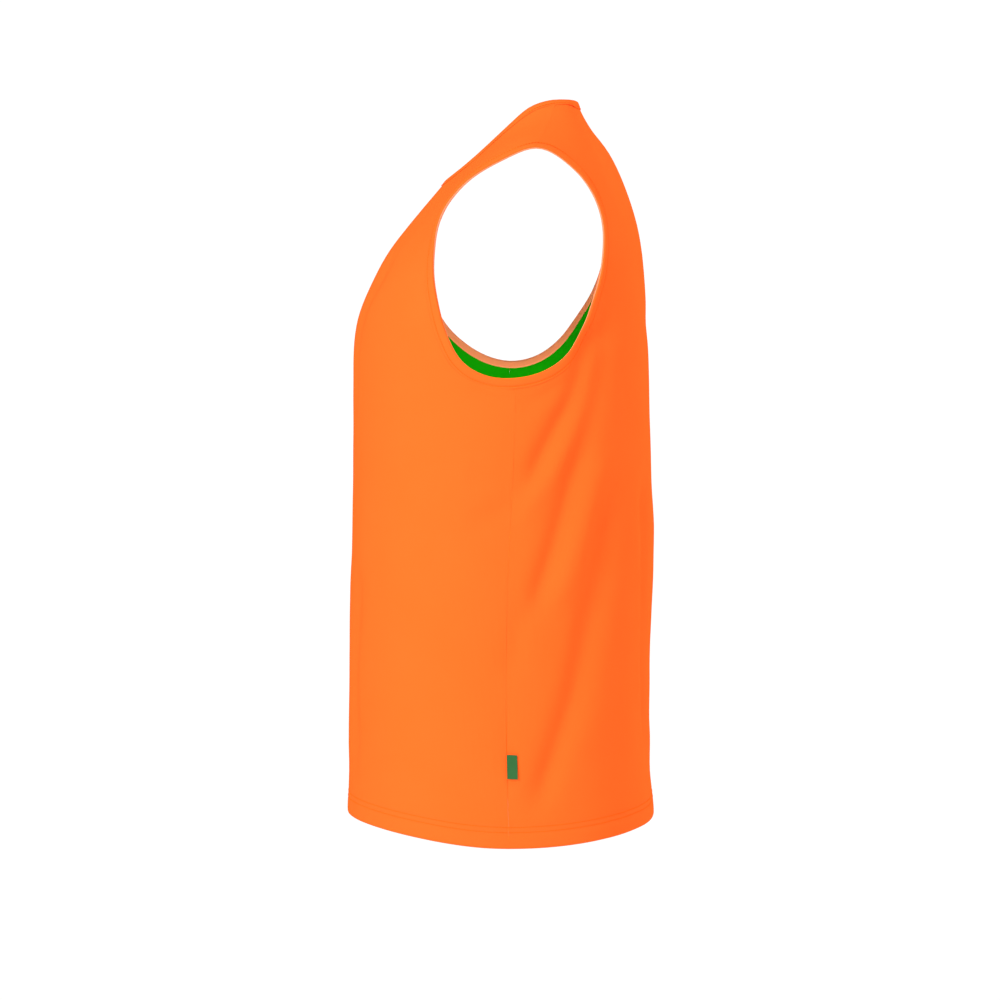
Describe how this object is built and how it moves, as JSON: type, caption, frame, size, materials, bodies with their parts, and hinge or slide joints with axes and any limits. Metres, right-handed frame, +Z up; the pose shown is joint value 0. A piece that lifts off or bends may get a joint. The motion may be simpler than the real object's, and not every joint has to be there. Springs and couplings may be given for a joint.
{
  "type": "training bib",
  "caption": "Sleeveless knit training bib in two layers, filled out as if worn, hollow, with open neck, armholes and hem and a small side label.",
  "frame": {"origin": "midway between the middles of the two shoulder seams, where the wearer carries the bib", "axes": "+Z up, the wearer faces -Y and the wearer's left is +X"},
  "size_m": [0.43, 0.3065, 0.7262],
  "materials": {
    "front_knit": "matt polyester knit, orange",
    "back_knit": "matt polyester knit, orange",
    "inner_front_knit": "matt polyester knit, green",
    "inner_back_knit": "matt polyester knit, green",
    "armhole_band_left_knit": "matt polyester knit, orange",
    "armhole_band_right_knit": "matt polyester knit, orange",
    "neck_band_knit": "matt polyester knit, orange",
    "side_label_weave": "woven label, dark green, bare"
  },
  "bodies": {
    "root": {"front": "front_knit", "back": "back_knit", "inner_front": "inner_front_knit", "inner_back": "inner_back_knit", "armhole_band_left": "armhole_band_left_knit", "armhole_band_right": "armhole_band_right_knit", "neck_band": "neck_band_knit", "side_label": "side_label_weave"}
  },
  "joints": []
}
